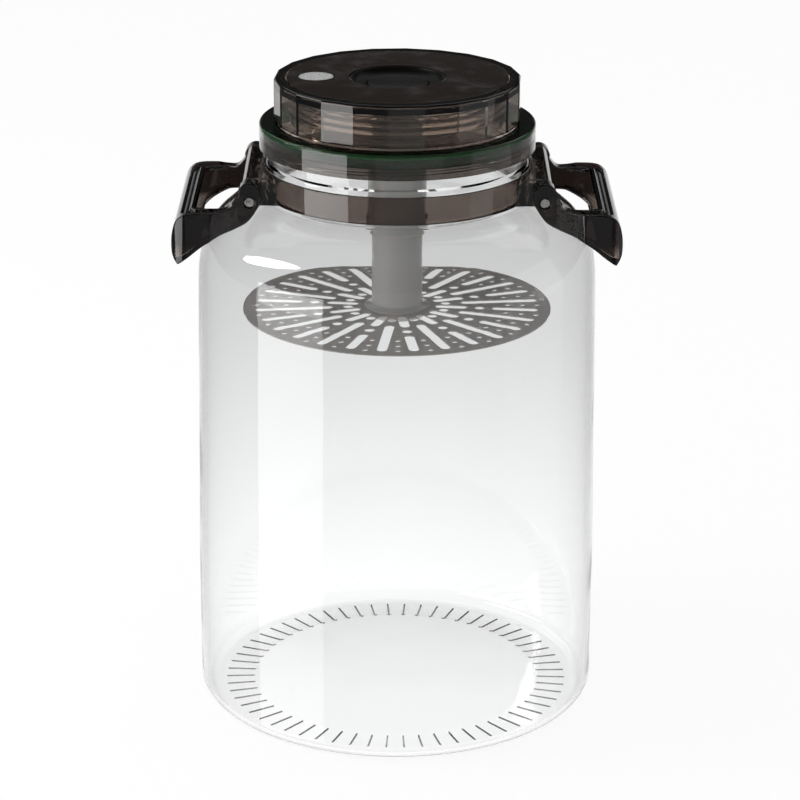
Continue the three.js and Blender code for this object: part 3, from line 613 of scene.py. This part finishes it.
combine(neck_ring, neck_room, "DIFFERENCE")
soften(neck_ring, 0.3, 2)
shade(neck_ring, 30)

smoked = {"Transmission Weight": 1.0, "IOR": 1.5}
smoked_plastic = finish("smoked_plastic", (0.185, 0.148, 0.128), (0.165, 0.13, 0.112), smoked,
                        gloss=0.01, scuffed=0.08, scuff_scale=120, wave_scale=60, wave_height=0.00002)
dress(neck_ring, smoked_plastic, "jar", "smoked_plastic", "neck_ring")

# Handle pins: plain steel rods, each held in a lug and in the two knuckles beside it.
# Their softly rounded ends lie just inside the knuckles' faces.
steel = finish("steel_wire", (0.75, 0.75, 0.73), (0.35, 0.34, 0.33), {"Metallic": 1.0},
               drift_scale=700, drift_contrast=3, gloss=0.22, scuffed=0.45, scuff_scale=900,
               wave_scale=900, wave_height=0.00001)
pin_half = 33.6
for side, word in ((1, "right"), (-1, "left")):
    pin = rod(f"hinge_pin_{word}", (side * pin_x, 0, pin_z), pin_radius, 2 * pin_half, "Y")
    soften(pin, 0.35, 2)
    shade(pin, 30)
    dress(pin, steel, "jar", "steel", f"pin_{word}")

# Handles: smoked loops of C section, open towards the fingers, with two knuckles that hang on the pin.
# The top has a shallow recess inside a raised lip, and the loop drops outwards to a thin pointed foot.
# Its inner side is cut to clear the ring and the shoulder as it swings up.
handle_reach = 32.2
handle_drop = 24.9
heel_height = 8.4
heel_radius = 4.7
knuckle_inner, knuckle_outer = 27.3, 34.3
grip_half = 41.5
grip_inner = 22.4
finger_half = 32.5
flange = 2.0
web = 2.4
channel_start = 12.0
recess_depth, recess_start = 1.3, 15
outer_lip, inner_lip, end_lip = 2.6, 2.2, 4.2
plan_reach = 40
end_corner, finger_corner, recess_corner = 8, 5, 5
swing = 75
swing_steps = 5
swing_clearance = 0.3
room_foot = 186
weld_distance = 0.00012
upper_shares = [(0.136, 0.137), (0.168, 0.056), (0.252, -0.068), (0.404, -0.104), (0.74, -0.112),
                (0.89, -0.18), (0.965, -0.345), (1, -0.622), (0.984, -0.863), (0.919, -1)]
lower_shares = [(0.919, -1), (0.767, -0.851), (0.6, -0.679), (0.385, -0.522), (0.155, -0.43), (0.0, -0.3),
                (-0.13, -0.05)]


def side_solid(name, outline, half, lift=0.0):
    """The handle's side outline drawn out to both sides of the middle; (out, up) from the pin in mm."""
    places = [Vector((pin_x + out, -half, pin_z + up + lift)) * MM for out, up in outline]
    return drawn(name, places, Vector((0, 2 * half, 0)) * MM)


def plan_solid(name, start, inner, spread_from, spread_to, outer, end, corner):
    """The handle's plan drawn up through its whole height; (out from the pin, half length) in mm."""
    half = [(start, inner), (spread_from, inner), (spread_to, outer),
            *arc(end - corner, outer - corner, corner, 90, 0, 8)]
    outline = half + [(out, -across) for out, across in reversed(half)]
    places = [Vector((pin_x + out, across, pin_z - plan_reach)) * MM for out, across in outline]
    return drawn(name, places, Vector((0, 0, 2 * plan_reach)) * MM)


upper = smooth_curve([(a * handle_reach, b * handle_drop) for a, b in upper_shares], 5)
lower = smooth_curve([(a * handle_reach, b * handle_drop) for a, b in lower_shares], 5)
heel = arc(0, heel_height - heel_radius, heel_radius, 180, 0, 12)
handle_side = heel + upper + lower[1:]
handle = side_solid("handle_grip_right", handle_side, grip_half + 1)
combine(handle, plan_solid("plan", -handle_reach, knuckle_outer, heel_radius, channel_start + heel_radius,
                           grip_half, handle_reach + 1, end_corner), "INTERSECT")
combine(handle, plan_solid("fingers", -handle_reach, knuckle_inner, heel_radius + swing_clearance,
                           channel_start, finger_half, grip_inner, finger_corner), "DIFFERENCE")
channel = side_solid("under_top", handle_side, grip_half, -flange)
combine(channel, side_solid("over_foot", handle_side, grip_half, flange), "INTERSECT")
spread_slope = (grip_half - knuckle_outer) / channel_start
combine(channel, plan_solid("channel_plan", channel_start, grip_half - web - spread_slope * heel_radius,
                            channel_start, channel_start + heel_radius, grip_half - web,
                            handle_reach - web, end_corner - web), "INTERSECT")
combine(handle, channel, "DIFFERENCE")
recess = side_solid("over_floor", handle_side, grip_half, 2 * recess_depth)
combine(recess, side_solid("recess_floor", handle_side, grip_half + 1, -recess_depth), "DIFFERENCE")
combine(recess, plan_solid("recess_plan", recess_start, grip_half - outer_lip, recess_start + 1,
                           recess_start + 2, grip_half - outer_lip, handle_reach - end_lip,
                           recess_corner), "INTERSECT")
combine(recess, plan_solid("recess_core", 0, finger_half + inner_lip, recess_start, recess_start + 1,
                           finger_half + inner_lip, grip_inner + inner_lip, finger_corner - 1), "DIFFERENCE")
combine(handle, recess, "DIFFERENCE")
combine(handle, rod("pin_bore", (pin_x, 0, pin_z), pin_bore, 4 * grip_half, "Y"), "DIFFERENCE")
room_outline = [(0, room_foot), (shoulder_radius + swing_clearance, room_foot),
                *[(radius + swing_clearance, height + swing_clearance) for radius, height in reversed(skin)],
                (ring_outer + swing_clearance, ring_low), (ring_outer + swing_clearance, ring_high),
                (0, ring_high)]
for step in range(swing_steps + 1):
    jar_room = turned("jar_room", room_outline, 96, ring=False)
    pivot = Vector((pin_x, 0, pin_z)) * MM
    turn = Matrix.Rotation(math.radians(swing * step / swing_steps), 4, "Y")
    jar_room.data.transform(Matrix.Translation(pivot) @ turn @ Matrix.Translation(-pivot))
    combine(handle, jar_room, "DIFFERENCE")
bpy.ops.object.mode_set(mode="EDIT")
bpy.ops.mesh.select_all(action="SELECT")
bpy.ops.mesh.remove_doubles(threshold=weld_distance)
bpy.ops.mesh.normals_make_consistent(inside=False)
bpy.ops.object.mode_set(mode="OBJECT")
soften(handle, 0.6, 3, 35)
shade(handle, 35)
handle_plastic = finish("handle_plastic", (0.020, 0.014, 0.012), (0.013, 0.009, 0.008), smoked,
                        gloss=0.05, scuffed=0.16, scuff_scale=140, wave_scale=70, wave_height=0.00003)
thin_top, thin_foot = 213, 204
foot_tone = (0.42, 0.34, 0.29)
tree = handle_plastic.node_tree
thin = add_node(tree, "ShaderNodeMapRange", {"From Min": thin_top * MM, "From Max": thin_foot * MM},
                {"Value": height_up(tree)})
tone = tinted(tree, thin.outputs[0], tree.nodes["Group"].outputs["Color"], foot_tone)
tree.links.new(tone, tree.nodes["Principled BSDF"].inputs["Base Color"])
other = bpy.data.objects.new("handle_grip_left", handle.data.copy())
bpy.context.collection.objects.link(other)
other.data.transform(Matrix.Rotation(math.pi, 4, "Z"))
dress(handle, handle_plastic, "handle_right", "smoked_plastic", "handle_right")
dress(other, handle_plastic, "handle_left", "smoked_plastic", "handle_left")

# Lid seal: a flat green silicone washer that lies on the mouth's rim, under the lid's deck.
# Its inner lip reaches down into the mouth and keeps it centred.
seal = turned("green_seal", [(50.9, 248.6), (52.0, 248.6), (52.0, 251.5), (56.2, 251.5), (56.2, 253.8),
                             (50.9, 253.8)], ring_sides)
soften(seal, 0.35, 3)
shade(seal, 35)
green_silicone = finish("green_silicone", (0.22, 0.92, 0.32), (0.17, 0.80, 0.26),
                        {"IOR": 1.42, "Subsurface Weight": 0.15, "Subsurface Scale": 0.001},
                        gloss=0.28, scuffed=0.5, scuff_scale=300, wave_scale=90, wave_height=0.00002)
dress(seal, green_silicone, "seal", "green_silicone", "lid_seal")

# Lid: one smoked moulding. A flat deck with a threaded skirt below, a ridged collar that stands up inside
# the knob, and a short socket underneath that holds the guide sleeve.
lid_outline = [
    (5.3, 253.7), (12.7, 253.7), (12.7, 248.7), (14.2, 248.7), (14.2, 253.7), (56.6, 253.7), (56.6, 245.4),
    (58.0, 245.4), *arc(57.1, 254.9, 0.9, 0, 90, 6), (43.6, 255.8),
    (43.6, 259.2), (43.9, 259.6), (44.5, 260.3), (44.5, 260.7), (43.9, 261.4), (43.6, 262.0),
    (43.6, 262.4), (43.9, 262.8), (44.5, 263.5), (44.5, 263.9), (43.9, 264.6), (43.6, 265.2),
    (43.6, 265.6), (43.9, 266.0), (44.5, 266.7), (44.5, 267.1), (43.9, 267.6), (43.6, 267.8),
    (42.0, 267.8), (42.0, 255.8), (5.3, 255.8)]
lid = turned("lid_moulding", lid_outline, ring_sides)
lid_thread = wound("lid_thread", thread_section(57.3, 55.5, 246.45, *thread_widths), pitch=thread_pitch,
                   turns=0.75, start=math.pi / 2, steps=120)
combine(lid, lid_thread, "UNION")
shade(lid, 30)

# The lid's tint: the thin deck and collar inside the rim are clear, and the rim's outer face is clearer than
# its top.
# The rim's top is near black as painted shade over the seal below it, and the skirt's inside is dark as
# painted shade under the deck. A clearer band on the rim's face at the seal is a painted highlight on the
# seal's green line.
thin_radius, thin_height = 50.5, 253.6
face_reach = (57.3, 100)
thin_tone = (0.76, 0.69, 0.63)
face_tone = (0.27, 0.25, 0.235)
seal_band = (250.6, 254.9)
# Painted highlight: a clearer band on the rim's face at the seal, which brightens its green line.
seal_line_highlight_tone = (0.6, 0.6, 0.6)
# Near black: the knob rim's own dark tint, and painted shade on the lid rim's top over the seal.
rim_and_shade_tone = (0.002, 0.0016, 0.0013)
# Painted shade under the deck, on the skirt's inside, its thread and the socket.
under_deck_shade_tone = (0.06, 0.045, 0.036)
lid_plastic = finish("lid_plastic", rim_and_shade_tone, rim_and_shade_tone, smoked,
                     gloss=0.01, scuffed=0.08, scuff_scale=120, wave_scale=60, wave_height=0.00002)
tree = lid_plastic.node_tree
reach = distance_out(tree)
tone = tree.nodes["Group"].outputs["Color"]
for mask, colour in ((within(tree, reach, 0, thin_radius), thin_tone),
                     (within(tree, height_up(tree), 0, thin_height), under_deck_shade_tone),
                     (within(tree, reach, *face_reach), face_tone),
                     (both(tree, within(tree, height_up(tree), *seal_band), within(tree, reach, *face_reach)),
                      seal_line_highlight_tone)):
    tone = tinted(tree, mask, tone, colour)
tree.links.new(tone, tree.nodes["Principled BSDF"].inputs["Base Color"])
dress(lid, lid_plastic, "lid", "smoked_plastic", "lid_shell")

# Guide sleeve: a grey plastic tube pushed into the lid's socket, in which the press tube slides.
# A wider collar is snapped on its lower end.
grey_plastic = finish("grey_plastic", (0.60, 0.59, 0.575), (0.53, 0.52, 0.51),
                      {"IOR": 1.5, "Subsurface Weight": 0.2, "Subsurface Scale": 0.002},
                      gloss=0.12, scuffed=0.3, scuff_scale=160, wave_scale=80, wave_height=0.00002)
small_sides = 96
sleeve = turned("lid_sleeve", [(11.0, 212.5), (12.4, 212.5), (12.4, 253.5), (11.0, 253.5)], small_sides)
soften(sleeve, 0.25)
shade(sleeve)
dress(sleeve, grey_plastic, "lid", "grey_plastic", "guide_sleeve")
sleeve_end = turned("sleeve_end_ring", [(11.0, 208.9), (12.2, 208.9), (13.2, 210.2), (13.2, 215.1),
                                        (12.7, 215.1), (12.7, 212.3), (11.0, 212.3)], small_sides)
soften(sleeve_end, 0.2)
shade(sleeve_end)
dress(sleeve_end, grey_plastic, "lid", "grey_plastic", "sleeve_collar")

# Press tube: a grey tube that slides in the sleeve. Its closed foot has a flange that bears on the plate
# and a spigot that goes through it.
tube = turned("press_stem", [(0, 169.4), (7.6, 169.4), (8, 169.8), (8, 174.4), (14, 174.4), (13.6, 175.0),
                             (11.5, 175.5), (10.7, 176.2), (10.7, 250.1), (9, 250.1), (9, 242.5),
                             (7.2, 242.5), (7.2, 171.4), (0, 171.4)], small_sides, ring=False)
soften(tube, 0.2)
shade(tube)
dress(tube, grey_plastic, "press", "grey_plastic", "press_tube")

# Tube nut: a short bush moulded in black nylon and pressed into the press tube's head.
# It runs on the spindle and takes the tube up and down.
dark_plastic = finish("dark_plastic", (0.006, 0.006, 0.0055), (0.004, 0.004, 0.0035), {"IOR": 1.2},
                      gloss=0.3, scuffed=0.5, scuff_scale=220, wave_scale=120, wave_height=0.00002)
nut = turned("drive_nut", [(5.3, 242.7), (8.7, 242.7), (8.7, 250.1), (5.3, 250.1)], small_sides)
soften(nut, 0.3)
shade(nut)
dress(nut, dark_plastic, "press", "dark_plastic", "tube_nut")

# Press plate: a thin flexible grey disc, cut with fourteen lines of short slots and holes,
# fourteen long slots between them, and small drain holes in every gap.
plate_radius = 65.8
plate_low, plate_high = 173.9, 174.3
lines = 14
first_line = math.radians(7)
slot_half = 2.1
drain_radius = 1.2
cut_start, cut_middle = plate_low - 1, 173.5
slot_cut, hole_cut = 4, 6


def slot_cutter(near, far, heading):
    """A bar with round ends, from one share of the plate's radius to another."""
    ends = [(far * plate_radius - slot_half, -90), (near * plate_radius + slot_half, 90)]
    outline = [point for reach, start in ends for point in arc(reach, 0, slot_half, start, start + 180, 8)]
    places = [at_heading(reach, across, heading, cut_start) for reach, across in outline]
    return drawn("slot", places, Vector((0, 0, slot_cut)) * MM)


def hole_cutter(name, share, heading, radius, sides):
    """A round bar at a share of the plate's radius."""
    centre = at_heading(share * plate_radius, 0, heading, cut_middle) / MM
    return rod(name, centre, radius, hole_cut, "Z", sides)


plate = turned("press_disc", [(8.3, plate_low), (plate_radius, plate_low), (plate_radius, plate_high),
                              (8.3, plate_high)], 192)
between = first_line + math.pi / lines
cutters = [slot_cutter(0.25, 0.46, first_line), slot_cutter(0.62, 0.92, first_line),
           slot_cutter(0.42, 0.925, between),
           hole_cutter("hole", 0.54, first_line, slot_half, 20),
           hole_cutter("hole", 0.32, between, slot_half, 20)]
gap = math.pi / lines / 2
for heading in (first_line + gap, between + gap):
    for share in (0.72, 0.82, 0.914):
        cutters.append(hole_cutter("drain", share, heading, drain_radius, 12))
bpy.ops.object.select_all(action="DESELECT")
for cutter in cutters:
    cutter.select_set(True)
bpy.context.view_layer.objects.active = cutters[0]
bpy.ops.object.join()
cutter = bpy.context.object
repeat_round(cutter, lines)
combine(plate, cutter, "DIFFERENCE")
shade(plate, 30)
plate_plastic = finish("plate_plastic", (0.52, 0.49, 0.47), (0.45, 0.42, 0.40), {"IOR": 1.48},
                       gloss=0.32, scuffed=0.5, scuff_scale=180, wave_scale=50, wave_height=0.00006)
dress(plate, plate_plastic, "press", "plate_plastic", "press_plate")

# Plate clip: a grey plastic ring with a bevelled foot.
# It is pressed on the tube's spigot from below, and holds the plate on the tube.
clip = turned("plate_retainer", [(8.3, 170.6), (12.2, 170.6), (13.0, 171.6), (13.0, 173.8), (8.3, 173.8)],
              small_sides)
soften(clip, 0.2)
shade(clip)
dress(clip, grey_plastic, "press", "grey_plastic", "plate_clip")

# Spindle: a hollow grey lead screw. Its wide head closes the knob's hub from below,
# and its coarse thread drives the nut.
spindle_top = 266.0
spindle = turned("lead_screw", [
    (3.2, 197.9), (4.0, 197.9), (4.3, 198.3), (4.3, 252.1), (4.4, 252.1), (4.4, 253.7), (5.0, 253.7),
    (5.0, 257.6), (8.0, 257.6), (8.0, 263.4), (20.9, 263.4), (20.9, spindle_top), (2.2, spindle_top),
    (2.2, 263.4), (3.2, 263.4)], small_sides)
spindle_thread = wound("spindle_thread", thread_section(3.75, 5.0, 201.9, 3.0, 1.5), pitch=12, turns=3.5,
                       start=0, steps=48)
combine(spindle, spindle_thread, "UNION")
shade(spindle)
dress(spindle, grey_plastic, "knob", "grey_plastic", "spindle")

# Spindle seal: a round ring of green silicone on the deck, under the spindle's hub.
# It keeps the lid tight while the knob turns.
oring = turned("stem_seal", [(5.3, 256.0), (7.5, 256.0), (7.5, 257.4), (5.3, 257.4)], small_sides)
soften(oring, 0.5, 3)
shade(oring)
dress(oring, green_silicone, "lid", "green_silicone", "spindle_seal")

# Spindle clip: a flat snap ring of steel in the spindle's groove, under the deck.
# It holds the spindle and the knob down on the lid.
snap = turned("snap_ring", [(4.7, 252.3), (8.5, 252.3), (8.5, 253.5), (4.7, 253.5)], small_sides)
soften(snap, 0.2)
shade(snap)
dress(snap, steel, "knob", "steel", "spindle_clip")

# Knob: a smoked cap with twenty-two flat sides and a thick rim. A web under the rim joins the wall
# to a round inner core and to the hub that takes the spindle's head and the vent cup.
knob_sides = 22
knob_heading = math.radians(-20.3)
knob_outline = [
    (49.6, 257.0), (51.7, 257.0), *arc(50.8, 273.7, 0.9, 0, 90, 10), (47.1, 274.6), (47.1, 272.2),
    (21.4, 272.2), (21.4, 268.2), (18.0, 268.2), (18.0, 266.2), (21.4, 266.2), (21.4, 263.4),
    (23.2, 263.4), (23.2, 270.4), (31.4, 270.4), (31.4, 257.0), (33.0, 257.0), (33.0, 270.4),
    (49.6, 270.4)]
knob = turned("knob_cap", knob_outline, knob_sides, knob_heading)
shade(knob, 12)

# The knob's inner core and web are thinner than its outer wall, so they are clearer.
# The rim's top is solid and dark.
core_radius = 48
core_tone = (0.86, 0.81, 0.77)
rim_levels = (273.75, 300)
rim_reach = (40, 52)
knob_plastic = finish("knob_plastic", (0.50, 0.445, 0.41), (0.44, 0.39, 0.36), smoked,
                      gloss=0.01, scuffed=0.04, scuff_scale=130, wave_scale=60, wave_height=0.00003)
tree = knob_plastic.node_tree
reach = distance_out(tree)
tone = tinted(tree, within(tree, reach, 0, core_radius), tree.nodes["Group"].outputs["Color"], core_tone)
top = both(tree, within(tree, height_up(tree), *rim_levels), within(tree, reach, *rim_reach))
tone = tinted(tree, top, tone, rim_and_shade_tone)
tree.links.new(tone, tree.nodes["Principled BSDF"].inputs["Base Color"])
dress(knob, knob_plastic, "knob", "smoked_plastic", "knob_shell")

# Knob disc: a flat smoked plastic disc let into the knob's rim, whose edge is painted lighter for light
# coming through it.
# It has a hole over the dish and a pocket for the badge.
badge_x = -34
disc = turned("top_disc", [(20.3, 272.4), (46.4, 272.4), (46.4, 274.6), (20.3, 274.6)], ring_sides)
combine(disc, rod("badge_pocket", (badge_x, 0, 275.4), 7.7, 4, "Z", 64), "DIFFERENCE")
soften(disc, 0.25, 2)
shade(disc)
disc_plastic = finish("disc_plastic", (0.025, 0.0185, 0.015), (0.018, 0.0135, 0.011), {"IOR": 1.25},
                      gloss=0.1, scuffed=0.3, scuff_scale=90, wave_scale=40, wave_height=0.00002)
# Painted light: the disc's edge is lighter, for light coming through it.
edge_reach, edge_levels = (46.1, 47), (270, 274.3)
lit_edge_tone = (0.36, 0.30, 0.26)
tree = disc_plastic.node_tree
edge = both(tree, within(tree, distance_out(tree), *edge_reach), within(tree, height_up(tree), *edge_levels))
tone = tinted(tree, edge, tree.nodes["Group"].outputs["Color"], lit_edge_tone)
tree.links.new(tone, tree.nodes["Principled BSDF"].inputs["Base Color"])
dress(disc, disc_plastic, "knob", "smoked_plastic", "knob_disc")

# Badge: a plain thin disc with a mottled silver face, left bare.
# It is glued into its pocket in the knob disc.
badge = rod("silver_badge", (badge_x, 0, 274.0), 7.2, 0.9, "Z", 64)
soften(badge, 0.2, 2)
shade(badge)
silver = finish("silver_foil", (1.0, 1.0, 1.0), (0.4, 0.4, 0.4), {"Metallic": 0.35},
                drift_scale=900, drift_contrast=2.5, gloss=0.3, scuffed=0.55, scuff_scale=1200,
                wave_scale=1400, wave_height=0.0003)
dress(badge, silver, "knob", "silver", "badge_disc")

# Vent cup: a near-black plastic dish under the disc's hole, with a round opening for the button.
# It sits in the knob's hub, on the spindle's head.
cup = turned("vent_dish", [(13.3, 268.4), (20.9, 268.4), (20.9, 272.2), (20.1, 272.3), (20.1, 274.1),
                           (19.5, 274.1), (18.9, 272.9), (17.8, 272.0), (15.0, 271.7), (13.3, 271.6)],
             small_sides)
soften(cup, 0.2)
shade(cup)
dress(cup, dark_plastic, "knob", "dark_plastic", "vent_cup")

# Vent button: a shallow dished cap on a stem, moulded in the same near-black plastic as the cup.
# It slides in the cup, and carries the valve on its stem's end.
button_outline = [
    (0, 260.4), (1.8, 260.4), (1.8, 261.2), (1.0, 261.2), (1.0, 263.2), (1.6, 263.2), (1.6, 269.6),
    (13.0, 269.6), (13.0, 271.5), (12.6, 271.9), (11.6, 271.8), (6.0, 271.5), (1.2, 271.4),
    (0.6, 271.65), (0, 271.7)]
button = turned("press_button", button_outline, small_sides, ring=False)
shade(button, 40)
dress(button, dark_plastic, "button", "dark_plastic", "vent_button")

# Vent valve: a soft green silicone disc pushed on the end of the button's stem.
# It seals the spindle's bore from below, and opens as the button goes down.
valve = turned("valve_disc", [(1.3, 261.4), (2.8, 261.4), (2.8, 263.2), (1.3, 263.2)], small_sides)
soften(valve, 0.3)
shade(valve)
dress(valve, green_silicone, "button", "green_silicone", "vent_valve")

# Vent spring: thin round steel wire, wound in two turns between the spindle's head and the button.
# It is squeezed to less than half its height as the button goes down.
wire_radius = 0.25
coil_radius = 4.5
spring_foot = spindle_top + 0.2
wire = arc(coil_radius, spring_foot + wire_radius, wire_radius, 0, 330, 11)
spring = wound("return_spring", wire, pitch=1.35, turns=2, start=0, steps=48)
shade(spring, 60)
dress(spring, steel, "knob", "steel", "vent_spring")
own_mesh(spring)
